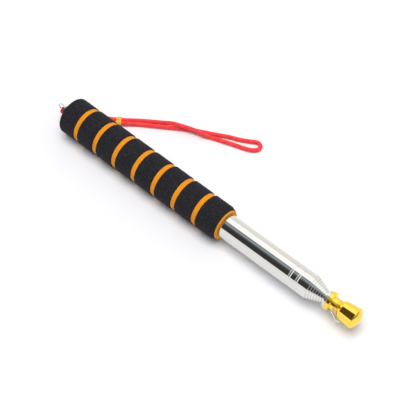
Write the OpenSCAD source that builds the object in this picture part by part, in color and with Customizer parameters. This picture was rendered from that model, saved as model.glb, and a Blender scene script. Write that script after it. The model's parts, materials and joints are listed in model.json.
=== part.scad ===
// Telescopic hand pole with a banded foam grip, a wrist strap and a gold tip knob.
// The pole lies along X with its tip towards +X, and its grip rests on z = 0.
// All sizes are in millimetres. A station is a distance along the pole from the grip's rear end.

/* [Grip] */
// Largest thickness of the grip around the tube, in front of its rounded rear rim
grip_wall_rear = 6.1; // [5.3:0.1:9]
// Thickness of the grip around the tube at its front end
grip_wall_front = 4.5; // [4:0.1:8]
// Length of the first foam band, at the rear end
first_band_len = 16.6; // [12:0.1:24]
// Length of each foam band between two grooves
band_len = 17.2; // [10:0.1:24]
// Length of the last foam band
last_band_len = 18.9; // [12:0.1:26]
// Width of the orange groove between two bands
groove_w = 4; // [2:0.1:8]
// Depth of the groove below the foam
groove_depth = 0.9; // [0.4:0.1:1.6]
// Wall of the orange core under the bands
core_wall = 2.3; // [1.5:0.1:2.6]
// Radius of the rounded rear rim
rim_round = 4; // [2:0.1:5]
// Rounding of the other band edges
edge_round = 0.7; // [0.3:0.1:1.2]
// Length of the taper at the front of the last band
front_taper_len = 3.2; // [1.5:0.1:6]
// Width of the orange ring that shows at the front end
end_ring_w = 1.1; // [0.8:0.1:3]
// Wall of that ring around the tube
end_ring_wall = 2.8; // [2.6:0.1:3.6]

/* [Tubes] */
// Outer diameter of the outer tube
tube_od = 20; // [19:0.1:21]
// Wall of each tube
tube_wall = 0.45; // [0.35:0.05:0.5]
// Gap between one tube and the next
tube_gap = 0.27; // [0.22:0.01:0.32]
// Length of the outer tube that stands out of the grip
bare_len = 83.7; // [60:0.1:140]
// Distance from one tube's end to the next
step_len = 1.9; // [1.5:0.1:4]
// Length of the innermost tube that shows when the pole is closed
tip_bare_len = 1.9; // [1:0.1:6]
// Length of the turned-in lip at a tube's front end
lip_len = 0.9; // [0.6:0.1:1.2]
// Rounding of a tube's front edge
lip_round = 0.25; // [0.1:0.05:0.3]
// Length of the bush at a tube's rear end
bush_len = 12; // [6:0.5:20]
// Radial clearance of a sliding fit
slip = 0.03; // [0.02:0.01:0.06]
// Radial clearance of pieces that are fixed together
snug = 0.01; // [0.005:0.005:0.03]
// Distance from the outer tube's end back to its front rolled bead
bead_back = 10.5; // [6:0.1:20]
// Distance between the two front rolled beads
bead_gap = 6.6; // [3:0.1:12]
// Distance from the grip to the bead that stops it
stop_bead_gap = 0.3; // [0.2:0.1:2]
// Width of a rolled bead
bead_w = 1.4; // [0.8:0.1:2.4]
// Depth of a rolled bead
bead_depth = 0.2; // [0.1:0.05:0.25]

/* [Rear end] */
// Depth of the end plug in the outer tube
plug_depth = 8; // [5:0.5:16]
// Distance that the end plug's flange reaches past the tube
flange_over = 1.5; // [0.8:0.1:2.2]
// Thickness of the end plug's flange
flange_t = 2; // [1:0.1:4]
// Free space behind the closed tubes
rear_play = 0.4; // [0.3:0.1:2]
// Width of the eye that carries the ring
eye_w = 6; // [5:0.1:8]
// Thickness of that eye
eye_t = 2.2; // [1.6:0.1:2.6]
// Bore of that eye
eye_bore = 1.9; // [1.8:0.1:2.6]
// Distance from the flange to the eye's bore
eye_reach = 5.8; // [4:0.1:9]
// Mean diameter of the strap ring
ring_d = 8.4; // [8:0.1:10]
// Wire diameter of the strap ring
ring_wire_d = 1.2; // [0.8:0.1:1.3]

/* [Strap] */
// Diameter of the strap's cord
cord_d = 3.6; // [3:0.1:3.8]
// Distance between the strap's two strands where a sleeve holds them
strand_gap = 3.9; // [3.8:0.1:4.4]
// Height of the strap's sleeves across the cord
sleeve_h = 5; // [4.8:0.1:5.6]
// Length of the yellow band
band_wrap_len = 4.5; // [3:0.1:8]
// Clearance of the yellow band around each strand
band_slack = 0.15; // [0.1:0.05:0.3]
// Length of the cord end, from its eye to its strands
cord_end_len = 7.5; // [6.5:0.1:7.5]
// Diameter of the cord end's eye
cord_eye_d = 5.2; // [4.6:0.1:5.6]
// Thickness of the cord end's eye
cord_eye_t = 3; // [2:0.1:3.2]
// Bore of the cord end's eye
cord_eye_bore = 2; // [1.9:0.1:2.4]

/* [Tip] */
// Diameter of the washer behind the knob
washer_d = 14.6; // [13:0.1:18]
// Thickness of that washer
washer_t = 2; // [1:0.1:3]
// Diameter of the knob's collar
collar_d = 15; // [13:0.1:16]
// Length of the knob's collar
collar_len = 3.4; // [3:0.1:6]
// Diameter of the knob's neck
neck_d = 10.2; // [9:0.1:11]
// Length of the knob's neck
neck_len = 5.7; // [5.4:0.1:10]
// Height of the bead at the front of the neck
neck_bead_h = 0.4; // [0.2:0.1:0.6]
// Length of that bead
neck_bead_len = 1.4; // [0.8:0.1:2]
// Length of the flare between neck and head
flare_len = 3; // [1.5:0.1:4]
// Diameter of the head behind, at the flare
head_d_rear = 14.3; // [12:0.1:14.6]
// Largest diameter of the head, at its front rim
head_d_front = 17; // [15:0.1:20]
// Length of the head from the flare to the rim
head_len = 11.6; // [6:0.1:16]
// Height of the domed front face
dome_h = 3.6; // [1:0.1:5]
// Diameter of the stud that carries the knob
stud_d = 5; // [3:0.1:6]
// Depth of the stud in the knob
stud_depth = 4; // [2:0.1:4]
// Depth of the stud in the innermost tube
stud_root_len = 12; // [6:0.5:24]

/* [Bail] */
// Wire diameter of the bail
bail_wire_d = 1.4; // [0.8:0.1:1.5]
// Distance from the collar to the middle of the bail's cross hole
bail_hole_back = 3; // [2.2:0.1:3.2]
// Length of the bail from its pins to its end
bail_len = 12; // [12:0.1:15]
// Bend radius at the bail's end
bail_end_r = 4.3; // [2:0.1:5]
// Bend radius at the bail's pins
bail_pin_r = 1.5; // [1:0.1:2]
// Depth of each pin in the neck
bail_pin_depth = 3; // [1.5:0.1:4]
// Angle of the cross hole from the top, towards the -Y side
bail_turn = 80; // [0:1:90]
// Lean of the bail towards the head
bail_lean = 45; // [20:1:45]

/* [Hidden] */
$fn = 64;

section_count = 8;
band_count = 8;

// Grip stations and radii
bands_len = first_band_len + (band_count - 2) * band_len + last_band_len;
foam_end = bands_len + (band_count - 1) * groove_w;
grip_len = foam_end + end_ring_w;
grip_r_rear = tube_od / 2 + grip_wall_rear;
grip_r_front = tube_od / 2 + grip_wall_front;
axis_h = grip_r_rear;
core_bore_r = tube_od / 2 + snug;
seat_r = tube_od / 2 + core_wall;
end_ring_r = tube_od / 2 + end_ring_wall;
// The rear rim's rounding stays inside the first band's wall
rim_r = min(rim_round, 0.96 * (grip_r_rear - seat_r));

function band_rear(i) = i == 1 ? 0 : first_band_len + (i - 1) * groove_w + (i - 2) * band_len;
function band_front(i) = i == band_count ? foam_end : band_rear(i + 1) - groove_w;
function grip_r(x) =
    grip_r_rear + (grip_r_front - grip_r_rear) * (x - rim_r) / (foam_end - rim_r);

// Tube stations and radii
shoulder = grip_len + bare_len;
closed_rear = plug_depth + rear_play;
function tube_r(n) = tube_od / 2 - (n - 1) * (tube_wall + tube_gap);
function bore_r(n) = tube_r(n) - tube_wall;
function tube_rear(n) = n == 1 ? 0 : closed_rear;
function tube_front(n) = n < section_count ? shoulder + (n - 1) * step_len
                                           : shoulder + (n - 2) * step_len + tip_bare_len;

// Tip stations
washer_rear = tube_front(section_count);
knob_rear = washer_rear + washer_t;
neck_rear = knob_rear + collar_len;
flare_rear = neck_rear + neck_len;
head_rear = flare_rear + flare_len;
rim = head_rear + head_len;
tip_end = rim + dome_h;
stud_root_r = bore_r(section_count) - snug;
bail_hole = neck_rear + bail_hole_back;
bail_half = neck_d / 2 + slip + bail_pin_r;

// Rear stations, behind the grip
eye_x = -flange_t - eye_reach;
ring_x = eye_x - ring_d / 2;
rear_end = ring_x - (ring_d + ring_wire_d) / 2;

// The origin lies under the middle of the pole
shift_x = -(tip_end + rear_end) / 2;

// Route of the strap: out of the cord end, through the yellow band, over its other strand, round the
// loop and back under that crossing, as station, distance from the pole's axis and height
cord_route = [
    [-13.95, 6, 7.4], [-13.95, 8.4, 5.6], [-13.4, 12, 3.4], [-11, 15.8, 2.2], [-6.6, 18.2, 1.9],
    [-1, 19.4, 1.9], [5.2, 20.7, 1.9], [11.8, 22.8, 2.2], [18.8, 26, 2.6], [27.2, 32, 2.6],
    [37.1, 40.5, 2], [48.3, 48.4, 2.2], [54.5, 51.6, 3.2], [61, 54.6, 4.9], [68.1, 56.9, 5.7],
    [74.9, 59.3, 5.8], [81.7, 61.8, 5], [88.7, 63.8, 3.4], [95, 66.9, 2.2], [105, 70.5, 1.9],
    [115.3, 74, 1.9], [122.1, 76.1, 1.9], [128.3, 78.8, 1.9], [132, 82.7, 1.9], [131.3, 86.8, 1.9],
    [127.3, 88.3, 1.9], [122.1, 85.5, 1.9], [114, 80.9, 1.9], [104.2, 76.6, 1.9], [92.2, 70.1, 1.9],
    [79.8, 63.8, 1.9], [68.3, 56.5, 1.9], [57, 48.9, 1.9], [40, 37.5, 2], [29.7, 29, 2.6],
    [21.2, 22.8, 2.6], [13.2, 19, 2.2], [5.8, 16.8, 1.9], [-0.2, 15.4, 1.9], [-5.2, 13.8, 2.2],
    [-8.7, 11.6, 3.5], [-10.05, 8.4, 5.6], [-10.05, 6, 7.4]];
cord_sides = 8;
// Middle and heading of the yellow band, and the slope of the cord end
band_wrap_at = [25, 28, 2.6];
band_wrap_heading = 36;
cord_end_slope = atan2(0.6, 0.8);

// Places a lathe shape, drawn along +Z from the grip's rear end, on the pole's axis
module on_axis() {
    translate([shift_x, 0, axis_h]) rotate([0, 90, 0]) children();
}

// Places a piece of the strap or of the rear end, drawn from the grip's rear end on the floor
module on_floor() {
    translate([shift_x, 0, 0]) children();
}

// A ring along the pole's axis
module collar(r_in, r_out, from, to) {
    translate([0, 0, from]) difference() {
        cylinder(r = r_out, h = to - from);
        translate([0, 0, -1]) cylinder(r = r_in, h = to - from + 2);
    }
}

// Points of a quarter arc about c, from angle a to angle b, as radius and station
function arc(c, r, a, b, steps = 8) =
    [for (k = [0:steps]) let(t = a + (b - a) * k / steps) [c.x + r * cos(t), c.y + r * sin(t)]];

module telescope_tube(n) {
    r = tube_r(n);
    front = tube_front(n);
    last = n == section_count;
    mouth_r = last ? bore_r(n) : tube_r(n + 1) + slip;
    lip = last ? 0 : lip_len;
    color("#c9cac6") on_axis() rotate_extrude() polygon(concat(
        [[bore_r(n), tube_rear(n)]],
        [[r, tube_rear(n)]],
        n == 1 ? bead_points(r) : [],
        last ? [[r, front]]
             : [[r, front - lip_round], [r - lip_round, front]],
        [[mouth_r, front]],
        last ? [] : [[mouth_r, front - lip], [bore_r(n), front - lip]]));
}

// The outline of the three rolled beads, as notches in the outer tube
function bead_points(r) = [
    for (at = [grip_len + stop_bead_gap, shoulder - bead_back - bead_gap, shoulder - bead_back])
        each [[r, at - bead_w / 2], [r - bead_depth, at - bead_w / 6],
              [r - bead_depth, at + bead_w / 6], [r, at + bead_w / 2]]];

module outer_tube() {
    telescope_tube(1);
}

module bush(n) {
    inner = n == section_count ? slip : snug;
    color("#b08d4c") on_axis()
        collar(tube_r(n) + inner, bore_r(n - 1) - slip, closed_rear, closed_rear + bush_len);
}

module grip_core() {
    color("#f29a1e") on_axis() union() {
        collar(core_bore_r, seat_r, 0, grip_len);
        for (i = [1:band_count - 1])
            let(a = band_front(i), b = band_rear(i + 1))
            rotate_extrude() polygon([[core_bore_r, a], [grip_r(a) - groove_depth, a],
                                      [grip_r(b) - groove_depth, b], [core_bore_r, b]]);
        collar(core_bore_r, end_ring_r, foam_end, grip_len);
    }
}

module grip_band(i) {
    a = band_rear(i);
    b = band_front(i);
    rear_r = i == 1 ? rim_r : edge_round;
    front_run = i == band_count ? front_taper_len : edge_round;
    front_r = i == band_count ? end_ring_r : grip_r(b) - edge_round;
    color("#2c2c2e") on_axis() rotate_extrude() polygon(concat(
        [[seat_r + snug, a]],
        arc([grip_r(a + rear_r) - rear_r, a + rear_r], rear_r, -90, 0),
        [[grip_r(b - front_run), b - front_run], [front_r, b], [seat_r + snug, b]]));
}

module end_plug() {
    color("#1f1f21") on_axis() translate([0, 0, -flange_t]) cylinder(r = tube_od / 2 + flange_over, h = flange_t);
    color("#1f1f21") on_axis() cylinder(r = bore_r(1) - snug, h = plug_depth);
    color("#1f1f21") on_floor() translate([0, 0, axis_h - eye_t / 2]) difference() {
        union() {
            translate([eye_x, 0, 0]) cylinder(d = eye_w, h = eye_t);
            translate([eye_x, -eye_w / 2, 0]) cube([eye_reach + flange_t / 2, eye_w, eye_t]);
        }
        translate([eye_x, 0, -1]) cylinder(d = eye_bore, h = eye_t + 2);
    }
}

module strap_ring() {
    color("#b9bbbd") on_floor() translate([ring_x, 0, axis_h]) rotate([90, 0, 0])
        rotate_extrude() translate([ring_d / 2, 0]) circle(d = ring_wire_d);
}

// A flat round-sided sleeve along +Y that holds two strands side by side
module sleeve(h, len) {
    for (side = [-1, 1])
        translate([side * strand_gap / 2, 0, 0]) rotate([-90, 0, 0]) cylinder(d = h, h = len);
    translate([-strand_gap / 2, 0, -h / 2]) cube([strand_gap, len, h]);
}

module strap_end() {
    neck = cord_eye_d / 2 - 1;
    color("#c8102e") on_floor() translate([ring_x, 0, axis_h - ring_d / 2])
        rotate([-cord_end_slope, 0, 0]) difference() {
            union() {
                rotate([0, 90, 0]) cylinder(d = cord_eye_d, h = cord_eye_t, center = true);
                translate([0, neck, 0]) sleeve(sleeve_h, cord_end_len - neck);
            }
            rotate([0, 90, 0]) cylinder(d = cord_eye_bore, h = 2 * strand_gap + sleeve_h, center = true);
        }
}

module strap_band() {
    hole = cord_d + 2 * band_slack;
    color("#f2b233") on_floor() translate(band_wrap_at) rotate([0, 0, band_wrap_heading - 90])
        translate([0, -band_wrap_len / 2, 0]) difference() {
            sleeve(sleeve_h, band_wrap_len);
            translate([0, -1, 0]) sleeve(hole, band_wrap_len + 2);
        }
}

function unit(v) = v / norm(v);
function heading(p, i) = unit(p[min(i + 1, len(p) - 1)] - p[max(i - 1, 0)]);
function ring_points(c, t, r) =
    let(side = unit(cross([0, 0, 1], t)), up = cross(t, side))
    [for (k = [0:cord_sides - 1]) let(a = 360 * k / cord_sides) c + r * (cos(a) * side + sin(a) * up)];

// A round cord swept along a list of points, with flat ends
module cord(p, d) {
    m = cord_sides;
    rings = len(p);
    points = [for (i = [0:rings - 1]) each ring_points(p[i], heading(p, i), d / 2)];
    walls = [for (i = [0:rings - 2], k = [0:m - 1])
        each let(k2 = (k + 1) % m, a = i * m, b = (i + 1) * m)
        [[a + k, a + k2, b + k2], [a + k, b + k2, b + k]]];
    first = [for (k = [1:m - 2]) [0, k + 1, k]];
    last = [for (k = [1:m - 2]) let(o = (rings - 1) * m) [o, o + k, o + k + 1]];
    polyhedron(points, concat(first, walls, last));
}

module strap_cord() {
    color("#d3122f") on_floor() cord(cord_route, cord_d);
}

module tip_stud() {
    color("#a7a9ab") on_axis() translate([0, 0, washer_rear - stud_root_len])
        cylinder(r = stud_root_r, h = stud_root_len);
    color("#a7a9ab") on_axis() translate([0, 0, washer_rear - stud_root_len])
        cylinder(d = stud_d, h = stud_root_len + washer_t + stud_depth);
}

module tip_washer() {
    color("#d5d6d8") on_axis() collar(stud_d / 2 + snug, washer_d / 2, washer_rear, knob_rear);
}

module tip_knob() {
    dome_r = (pow(head_d_front / 2, 2) + pow(dome_h, 2)) / (2 * dome_h);
    bead = flare_rear - neck_bead_len;
    color("#e0a32a") on_axis() difference() {
        rotate_extrude() polygon(concat(
            [[0, knob_rear], [collar_d / 2, knob_rear], [collar_d / 2, neck_rear], [neck_d / 2, neck_rear],
             [neck_d / 2, bead], [neck_d / 2 + neck_bead_h, bead + neck_bead_len / 3],
             [neck_d / 2 + neck_bead_h, bead + neck_bead_len * 2 / 3], [neck_d / 2, flare_rear],
             [head_d_rear / 2, head_rear]],
            arc([0, tip_end - dome_r], dome_r, asin((dome_r - dome_h) / dome_r), 90, 12)));
        translate([0, 0, knob_rear - 1]) cylinder(r = stud_d / 2 + snug, h = stud_depth + snug + 1);
        translate([0, 0, bail_hole]) rotate([0, 0, bail_turn]) rotate([0, 90, 0])
            cylinder(d = bail_wire_d + 2 * slip, h = head_d_front, center = true);
    }
}

// One half of the bail, drawn with its pin along Z and its leg along X
module bail_half_loop() {
    inner = neck_d / 2 - bail_pin_depth;
    r = bail_wire_d / 2;
    translate([0, 0, inner]) cylinder(r = r, h = bail_half - bail_pin_r - inner);
    translate([bail_pin_r, 0, bail_half - bail_pin_r]) rotate([90, 0, 0]) rotate([0, 0, 90])
        rotate_extrude(angle = 90) translate([bail_pin_r, 0]) circle(r = r);
    translate([bail_pin_r, 0, bail_half]) rotate([0, 90, 0])
        cylinder(r = r, h = bail_len - bail_pin_r - bail_end_r);
    translate([bail_len - bail_end_r, 0, bail_half - bail_end_r]) rotate([90, 0, 0])
        rotate_extrude(angle = 90) translate([bail_end_r, 0]) circle(r = r);
    translate([bail_len, 0, 0]) cylinder(r = r, h = bail_half - bail_end_r);
}

module tip_bail() {
    color("#c4c6c8") translate([shift_x + bail_hole, 0, axis_h]) rotate([bail_turn, 0, 0])
        rotate([0, 0, bail_lean - 90]) union() {
            bail_half_loop();
            mirror([0, 0, 1]) bail_half_loop();
        }
}

outer_tube();
end_plug();
strap_ring();
strap_end();
strap_cord();
strap_band();
grip_core();
for (i = [1:band_count])
    grip_band(i);
for (n = [2:section_count])
    telescope_tube(n);
for (n = [2:section_count])
    bush(n);
tip_stud();
tip_washer();
tip_knob();
tip_bail();
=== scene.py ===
"""The looks of a closed telescopic hand pole: foam grip, steel tubes, gold tip knob and wrist strap."""

import json
import math

import bpy
from mathutils import Matrix, Vector, noise


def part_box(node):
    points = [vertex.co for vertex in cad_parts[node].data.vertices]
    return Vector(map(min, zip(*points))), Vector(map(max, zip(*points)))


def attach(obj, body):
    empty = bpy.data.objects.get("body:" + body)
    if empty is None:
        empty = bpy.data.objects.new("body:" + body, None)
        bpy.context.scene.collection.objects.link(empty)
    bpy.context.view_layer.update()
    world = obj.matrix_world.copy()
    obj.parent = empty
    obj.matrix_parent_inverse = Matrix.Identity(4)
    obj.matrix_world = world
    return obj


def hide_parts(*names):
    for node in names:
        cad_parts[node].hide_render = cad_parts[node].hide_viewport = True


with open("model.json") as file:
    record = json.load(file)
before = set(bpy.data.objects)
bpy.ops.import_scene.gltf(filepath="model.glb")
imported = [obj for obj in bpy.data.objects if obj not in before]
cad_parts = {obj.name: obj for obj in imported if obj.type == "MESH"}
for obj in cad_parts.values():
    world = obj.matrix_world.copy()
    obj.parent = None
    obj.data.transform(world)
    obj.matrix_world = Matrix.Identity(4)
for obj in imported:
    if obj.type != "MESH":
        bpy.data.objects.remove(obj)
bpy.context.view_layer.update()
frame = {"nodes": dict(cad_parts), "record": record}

# Sizes are in metres, and MM turns millimetres into them
MM = 0.001
TAU = 2 * math.pi
AXIS_X = Vector((1, 0, 0))
UP = Vector((0, 0, 1))

# The record says which body each node rides on and which finish it has
RECORD = frame["record"]
BODY_OF = {node: body for body, nodes in RECORD["behaviour"]["bodies"].items() for node in nodes}
SLOT_OF = {part["node"]: part["material_slot"] for part in RECORD["subparts"]}
JOINTS = {joint["name"]: joint for joint in RECORD["behaviour"]["joints"]}

# The pole's axis is parallel to X, at the middle height of the outer tube
TUBE_LOW, TUBE_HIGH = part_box("outer_tube")
AXIS_Z = (TUBE_LOW.z + TUBE_HIGH.z) / 2
AXIS = Vector((0, 0, AXIS_Z))
GRIP_REAR = TUBE_LOW.x


def station(mm):
    """The x of a place that lies that far in front of the grip's rear end."""
    return GRIP_REAR + mm * MM


def span(node):
    """The first x, the last x and the largest radius of a node that is turned about the pole's axis."""
    low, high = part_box(node)
    return low.x, high.x, (high.y - low.y) / 2


# Camera

CAMERA_AT = (0.30112, -0.33736, 0.64817)
CAMERA_AZIMUTH = math.radians(41.518)
CAMERA_ELEVATION = math.radians(54.141)
CAMERA_LENS = 90
CAMERA_SENSOR = 36


def make_camera():
    """The photograph's view, from above the tip's near side."""
    data = bpy.data.cameras.new("camera")
    data.lens = CAMERA_LENS
    data.sensor_width = CAMERA_SENSOR
    camera = bpy.data.objects.new("camera", data)
    level = math.cos(CAMERA_ELEVATION)
    forward = Vector((-math.sin(CAMERA_AZIMUTH) * level, math.cos(CAMERA_AZIMUTH) * level,
                      -math.sin(CAMERA_ELEVATION)))
    camera.rotation_euler = forward.to_track_quat("-Z", "Y").to_euler()
    camera.location = CAMERA_AT
    bpy.context.scene.collection.objects.link(camera)
    bpy.context.scene.camera = camera


make_camera()


# Shader nodes

def add_node(tree, kind, inputs=None, **settings):
    """A new node with its settings, and its inputs set to values or linked to sockets."""
    node = tree.nodes.new(kind)
    for name, value in settings.items():
        setattr(node, name, value)
    for name, value in (inputs or {}).items():
        if isinstance(value, bpy.types.NodeSocket):
            tree.links.new(value, node.inputs[name])
        else:
            node.inputs[name].default_value = value
    return node


def new_material(name, **shader_inputs):
    """A node material, its tree and its Principled shader with these inputs set."""
    material = bpy.data.materials.new(name)
    material.use_nodes = True
    tree = material.node_tree
    shader = tree.nodes["Principled BSDF"]
    for socket, value in shader_inputs.items():
        shader.inputs[socket.replace("_", " ")].default_value = value
    return material, tree, shader


def own_place(tree):
    """The piece's own coordinates in metres."""
    return add_node(tree, "ShaderNodeTexCoord").outputs["Object"]


def scaled(tree, place, scale):
    """Coordinates times a scale along each axis."""
    return add_node(tree, "ShaderNodeVectorMath", {0: place, 1: scale}, operation="MULTIPLY").outputs[0]


def noise_of(tree, place, scale=1.0, detail=2.0, roughness=0.5):
    """Cloudy noise between 0 and 1."""
    inputs = {"Vector": place, "Scale": scale, "Detail": detail, "Roughness": roughness}
    return add_node(tree, "ShaderNodeTexNoise", inputs).outputs["Fac"]


def cells_of(tree, place, scale):
    """The distance from the middle of the nearest cell."""
    return add_node(tree, "ShaderNodeTexVoronoi", {"Vector": place, "Scale": scale}).outputs["Distance"]


def spread(tree, value, low=0.0, high=1.0, to_low=0.0, to_high=1.0):
    """A value between low and high mapped to the range from to_low to to_high."""
    inputs = {"Value": value, "From Min": low, "From Max": high, "To Min": to_low, "To Max": to_high}
    return add_node(tree, "ShaderNodeMapRange", inputs).outputs["Result"]


def colours(tree, value, *stops):
    """A colour ramp over the value, with stops of position and linear colour."""
    ramp = add_node(tree, "ShaderNodeValToRGB", {"Fac": value})
    elements = ramp.color_ramp.elements
    while len(elements) < len(stops):
        elements.new(1)
    for element, (position, colour) in zip(elements, stops):
        element.position = position
        element.color = (*colour, 1)
    return ramp.outputs["Color"]


def math_of(tree, operation, a, b):
    return add_node(tree, "ShaderNodeMath", {0: a, 1: b}, operation=operation).outputs[0]


def weighed(tree, *parts):
    """The sum of values times their shares."""
    terms = [math_of(tree, "MULTIPLY", value, share) for value, share in parts]
    total = terms[0]
    for term in terms[1:]:
        total = math_of(tree, "ADD", total, term)
    return total


def add_bump(tree, shader, height, distance, strength):
    inputs = {"Height": height, "Distance": distance, "Strength": strength}
    bump = add_node(tree, "ShaderNodeBump", inputs)
    tree.links.new(bump.outputs["Normal"], shader.inputs["Normal"])


def even(value):
    """The same value three times, as a grey or as a scale along each axis."""
    return (value, value, value)


# Materials, one function for each kind of finish

# Textures are in cells per metre. A share is a texture's part in a sum, and stops are places on a ramp.
FOAM_SKIN = 1500.0
FOAM_GRAIN = 1300.0
FOAM_CLOUDS = 260.0
FOAM_PORES = 260.0
FOAM_GRAIN_SHARE = 0.86
FOAM_CLOUDS_SHARE = 0.14
FOAM_STOPS = (0.36, 0.52, 0.68)
FOAM_DEPTH = 0.25 * MM
FOAM_SKIN_DEPTH_SHARE = 0.45
FOAM_GRAIN_DEPTH_SHARE = 0.5
FOAM_PORE_DEPTH_SHARE = 0.5
# A pore, as the distance from its middle at which its floor ends and its rim lies, and the painted shade at
# its middle, a factor on the foam's colour that darkens the recessed pore
PORE_FLOOR = 0.06
PORE_RIM = 0.16
PORE_PAINTED_SHADE = 0.8
DRAWN_LINES = (14, 2600, 2600)
DRAWN_DEPTH = 0.004 * MM
POLISH_CLOUDS = even(70)
METAL_STOPS = (0.3, 0.5)
MOULD_GRAIN = even(2200)
MOULD_CLOUDS = even(220)
MOULD_DEPTH = 0.06 * MM
PLASTIC_STOPS = (0.35, 0.6)
# Most of a noise lies between these values. At the low one a finish is worn and at the high one it is fresh,
# and its own roughness is multiplied there.
NOISE_LOW = 0.3
NOISE_HIGH = 0.7
METAL_WORN_ROUGH = 1.5
METAL_FRESH_ROUGH = 0.7
PLASTIC_WORN_ROUGH = 1.25
PLASTIC_FRESH_ROUGH = 0.85
# Fibres in one repeat of a strand's UV map, along and round it
YARN_FIBRES = (3.0, 26.0, 1.0)
YARN_CLOUDS = even(300)
YARN_FIBRES_SHARE = 0.6
YARN_CLOUDS_SHARE = 0.4
YARN_STOPS = (0.32, 0.48, 0.66)
YARN_DEPTH = 0.12 * MM


def foam(name, dark, middle, pale, sheen):
    """Closed-cell foam: fine skin cells, a few larger pores with painted shade at their middles, and a soft
    cloudy tone.
    """
    material, tree, shader = new_material(
        name, Roughness=0.95, Specular_IOR_Level=0.12, Sheen_Weight=sheen, Sheen_Roughness=0.5)
    place = own_place(tree)
    cells = cells_of(tree, place, FOAM_SKIN)
    grain = noise_of(tree, place, FOAM_GRAIN, detail=3.0, roughness=0.6)
    clouds = noise_of(tree, place, FOAM_CLOUDS)
    pore = spread(tree, cells_of(tree, place, FOAM_PORES), PORE_FLOOR, PORE_RIM)
    tone = weighed(tree, (grain, FOAM_GRAIN_SHARE), (clouds, FOAM_CLOUDS_SHARE))
    # Painted shade: the foam's colour darkens towards each pore's middle, where the pore is recessed
    tone = math_of(tree, "MULTIPLY", tone, spread(tree, pore, to_low=PORE_PAINTED_SHADE))
    colour = colours(tree, tone, *zip(FOAM_STOPS, (dark, middle, pale)))
    tree.links.new(colour, shader.inputs["Base Color"])
    height = weighed(tree, (cells, FOAM_SKIN_DEPTH_SHARE), (grain, FOAM_GRAIN_DEPTH_SHARE),
                     (pore, FOAM_PORE_DEPTH_SHARE))
    add_bump(tree, shader, height, FOAM_DEPTH, strength=0.8)
    return material


def polished_metal(name, colour, worn, rough):
    """Polished metal with faint drawing lines along the pole and a cloudy polish."""
    material, tree, shader = new_material(name, Metallic=1.0)
    place = own_place(tree)
    lines = noise_of(tree, scaled(tree, place, DRAWN_LINES), detail=3.0, roughness=0.6)
    clouds = noise_of(tree, scaled(tree, place, POLISH_CLOUDS), detail=3.0)
    wear = weighed(tree, (lines, 0.5), (clouds, 0.5))
    tone = colours(tree, wear, *zip(METAL_STOPS, (worn, colour)))
    roughness = spread(tree, wear, NOISE_LOW, NOISE_HIGH,
                       rough * METAL_WORN_ROUGH, rough * METAL_FRESH_ROUGH)
    tree.links.new(tone, shader.inputs["Base Color"])
    tree.links.new(roughness, shader.inputs["Roughness"])
    add_bump(tree, shader, lines, DRAWN_DEPTH, strength=0.3)
    return material


def moulded_plastic(name, colour, worn, rough):
    """Moulded plastic with a fine spark-eroded grain."""
    material, tree, shader = new_material(name, Specular_IOR_Level=0.45)
    place = own_place(tree)
    grain = noise_of(tree, scaled(tree, place, MOULD_GRAIN))
    clouds = noise_of(tree, scaled(tree, place, MOULD_CLOUDS), detail=3.0)
    tone = colours(tree, clouds, *zip(PLASTIC_STOPS, (worn, colour)))
    roughness = spread(tree, clouds, NOISE_LOW, NOISE_HIGH,
                       rough * PLASTIC_WORN_ROUGH, rough * PLASTIC_FRESH_ROUGH)
    tree.links.new(tone, shader.inputs["Base Color"])
    tree.links.new(roughness, shader.inputs["Roughness"])
    add_bump(tree, shader, grain, MOULD_DEPTH, strength=0.5)
    return material


def twisted_yarn(name, dark, middle, pale, sheen):
    """Yarn: the fibres of each strand run along the strand's own direction, kept in the UV map."""
    material, tree, shader = new_material(
        name, Roughness=0.62, Specular_IOR_Level=0.3, Sheen_Weight=sheen, Sheen_Roughness=0.4)
    along = add_node(tree, "ShaderNodeUVMap", uv_map="strand").outputs["UV"]
    fibres = noise_of(tree, scaled(tree, along, YARN_FIBRES), detail=3.0, roughness=0.65)
    clouds = noise_of(tree, scaled(tree, own_place(tree), YARN_CLOUDS))
    tone = weighed(tree, (fibres, YARN_FIBRES_SHARE), (clouds, YARN_CLOUDS_SHARE))
    colour = colours(tree, tone, *zip(YARN_STOPS, (dark, middle, pale)))
    tree.links.new(colour, shader.inputs["Base Color"])
    add_bump(tree, shader, fibres, YARN_DEPTH, strength=0.6)
    return material


MATERIALS = {
    "black_foam": foam("black_foam", dark=(0.012, 0.012, 0.0145), middle=(0.0195, 0.0195, 0.0235),
                       pale=(0.046, 0.046, 0.052), sheen=0.03),
    "orange_foam": foam("orange_foam", dark=(0.76, 0.24, 0.01), middle=(0.89, 0.32, 0.014),
                        pale=(0.96, 0.4, 0.025), sheen=0.1),
    "steel": polished_metal("steel", colour=(0.745, 0.735, 0.7), worn=(0.705, 0.695, 0.66), rough=0.045),
    "wire": polished_metal("wire", colour=(0.86, 0.86, 0.87), worn=(0.76, 0.76, 0.77), rough=0.07),
    "gold": polished_metal("gold", colour=(0.98, 0.7, 0.1), worn=(0.96, 0.64, 0.075), rough=0.04),
    "bush_brass": polished_metal("bush_brass", colour=(0.62, 0.47, 0.2), worn=(0.5, 0.37, 0.15),
                                 rough=0.3),
    "black_plastic": moulded_plastic("black_plastic", colour=(0.02, 0.02, 0.022),
                                     worn=(0.014, 0.014, 0.015), rough=0.45),
    "red_plastic": moulded_plastic("red_plastic", colour=(0.6, 0.01, 0.03), worn=(0.48, 0.007, 0.022),
                                   rough=0.32),
    "red_cord": twisted_yarn("red_cord", dark=(0.86, 0.032, 0.038), middle=(0.96, 0.055, 0.06),
                             pale=(0.99, 0.1, 0.1), sheen=0.3),
    "yellow_thread": twisted_yarn("yellow_thread", dark=(0.8, 0.38, 0.02), middle=(0.94, 0.5, 0.05),
                                  pale=(0.97, 0.6, 0.1), sheen=0.2),
}


# Meshes

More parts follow.
